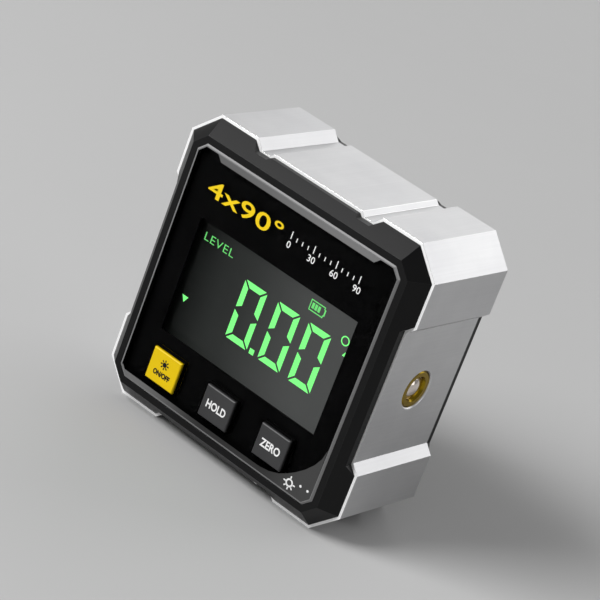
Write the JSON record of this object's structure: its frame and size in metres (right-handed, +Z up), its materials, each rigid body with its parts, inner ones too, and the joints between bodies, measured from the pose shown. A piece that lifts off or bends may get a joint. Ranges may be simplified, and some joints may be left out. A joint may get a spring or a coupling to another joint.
{
  "type": "digital angle gauge",
  "caption": "Square digital angle gauge with a stepped aluminium frame, black covers, a lit display, push buttons, a side laser and a grooved magnetic base.",
  "frame": {"origin": "middle of the base, on the plane that the feet stand on", "axes": "+X to the right of the face, +Y from the face to the back, +Z up"},
  "size_m": [0.06, 0.0308, 0.06],
  "materials": {
    "frame_aluminium": "satin, bead blasted",
    "black_plastic": "fine satin grain",
    "clear_panel": "clear gloss",
    "black_mask": "matt print",
    "display_glass": "gloss over a dark filter",
    "white_plastic": "satin",
    "contact_rubber": "matt",
    "board_green": "solder lacquer",
    "yellow_button": "satin",
    "grey_button": "satin",
    "switch_black": "matt",
    "chip_black": "matt",
    "barrel_brass": "turned",
    "lens_glass": "coated",
    "pack_wrap": "foil",
    "bright_steel": "plated",
    "magnet_nickel": "nickel plated"
  },
  "bodies": {
    "gauge": {"frame": "frame_aluminium", "front_bezel": "black_plastic", "face_panel": "clear_panel", "face_mask": "black_mask", "lcd_glass": "display_glass", "light_guide": "white_plastic", "contact_strip": "contact_rubber", "circuit_board": "board_green", "power_switch": "switch_black", "hold_switch": "switch_black", "zero_switch": "switch_black", "controller_chip": "chip_black", "tilt_sensor": "chip_black", "laser_barrel": "barrel_brass", "laser_lens": "lens_glass", "laser_diode": "barrel_brass", "laser_driver": "board_green", "battery_pack": "pack_wrap", "socket_shell": "bright_steel", "socket_core": "switch_black", "rear_cover": "black_plastic", "bezel_screws": "bright_steel", "cover_screws": "bright_steel", "board_screws": "bright_steel", "magnet_front_left": "magnet_nickel", "magnet_front_right": "magnet_nickel", "magnet_rear_left": "magnet_nickel", "magnet_rear_right": "magnet_nickel"},
    "power_key": {"power_button": "yellow_button", "power_plunger": "white_plastic"},
    "hold_key": {"hold_button": "grey_button", "hold_plunger": "white_plastic"},
    "zero_key": {"zero_button": "grey_button", "zero_plunger": "white_plastic"}
  },
  "joints": [
    {"name": "power_press", "type": "slide", "parent": "gauge", "child": "power_key", "axis": [0, 1, 0], "range_m": [0, 0.0003], "stiffness_N_per_m": 800, "springref_m": -0.0008},
    {"name": "hold_press", "type": "slide", "parent": "gauge", "child": "hold_key", "axis": [0, 1, 0], "range_m": [0, 0.0003], "stiffness_N_per_m": 800, "springref_m": -0.0008},
    {"name": "zero_press", "type": "slide", "parent": "gauge", "child": "zero_key", "axis": [0, 1, 0], "range_m": [0, 0.0003], "stiffness_N_per_m": 800, "springref_m": -0.0008}
  ]
}
